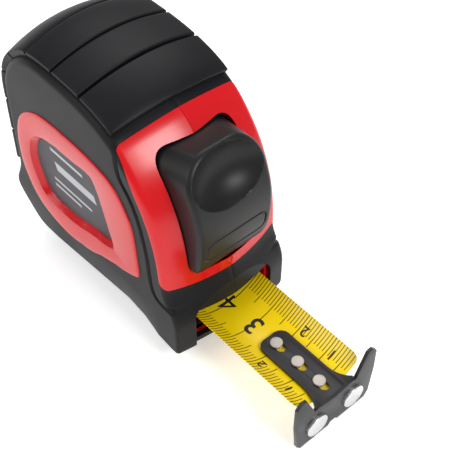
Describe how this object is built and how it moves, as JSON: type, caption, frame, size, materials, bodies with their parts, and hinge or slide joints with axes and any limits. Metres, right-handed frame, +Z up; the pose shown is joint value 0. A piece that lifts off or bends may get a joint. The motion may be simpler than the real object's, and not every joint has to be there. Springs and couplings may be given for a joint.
{
  "type": "tape measure",
  "caption": "Pocket tape measure with rubber-grip case, hollow steel blade drawn out a little, floating magnetic end hook, thumb lock and belt clip.",
  "frame": {"origin": "middle of the case's flat base, on its middle plane", "axes": "+X the way the blade comes out, +Y towards the side with the belt clip, +Z up"},
  "size_m": [0.1158, 0.0431, 0.078],
  "materials": {
    "red_shell": "gloss",
    "black_rubber": "matte",
    "label": "satin",
    "inner_plastic": "matte",
    "blade_yellow": "satin",
    "spring_steel": "brushed",
    "rivet_steel": "polished",
    "black_steel": "satin",
    "magnet": "polished",
    "button_black": "satin"
  },
  "bodies": {
    "case": {"case_left": "red_shell", "case_right": "red_shell", "overmould_left": "black_rubber", "overmould_right": "black_rubber", "top_grip": "black_rubber", "label_left": "label", "label_right": "label", "blade_guide": "inner_plastic", "reel_post": "inner_plastic", "lock_pin": "spring_steel", "lock_spring": "spring_steel", "case_screws": "black_steel", "belt_clip": "spring_steel", "clip_screw": "black_steel"},
    "reel": {"reel_drum": "inner_plastic", "drum_cover": "inner_plastic", "power_spring": "spring_steel", "blade_coil": "blade_yellow"},
    "blade": {"blade": "blade_yellow", "blade_rivets": "rivet_steel"},
    "hook": {"hook": "black_steel", "hook_magnets": "magnet"},
    "button": {"lock_button": "button_black", "brake_pads": "black_rubber"}
  },
  "joints": [
    {"name": "blade_slide", "type": "slide", "parent": "case", "child": "blade", "axis": [1, 0, 0], "range_m": [-0.034, 0.025]},
    {"name": "reel_spin", "type": "hinge", "parent": "case", "child": "reel", "pos_m": [-0.009, 0, 0.0342], "axis": [0, 1, 0], "range_deg": [-61, 82.5]},
    {"name": "hook_slide", "type": "slide", "parent": "blade", "child": "hook", "axis": [1, 0, 0], "range_m": [-0.0018, 0]},
    {"name": "button_press", "type": "hinge", "parent": "case", "child": "button", "pos_m": [0.0225, 0, 0.027], "axis": [0, -1, 0], "range_deg": [0, 5], "stiffness_Nm_per_rad": 1.5, "deforming": ["lock_spring"]}
  ],
  "couplings": [
    {"joint": "reel_spin", "follows": "blade_slide", "rad_per_m": -42.017}
  ]
}
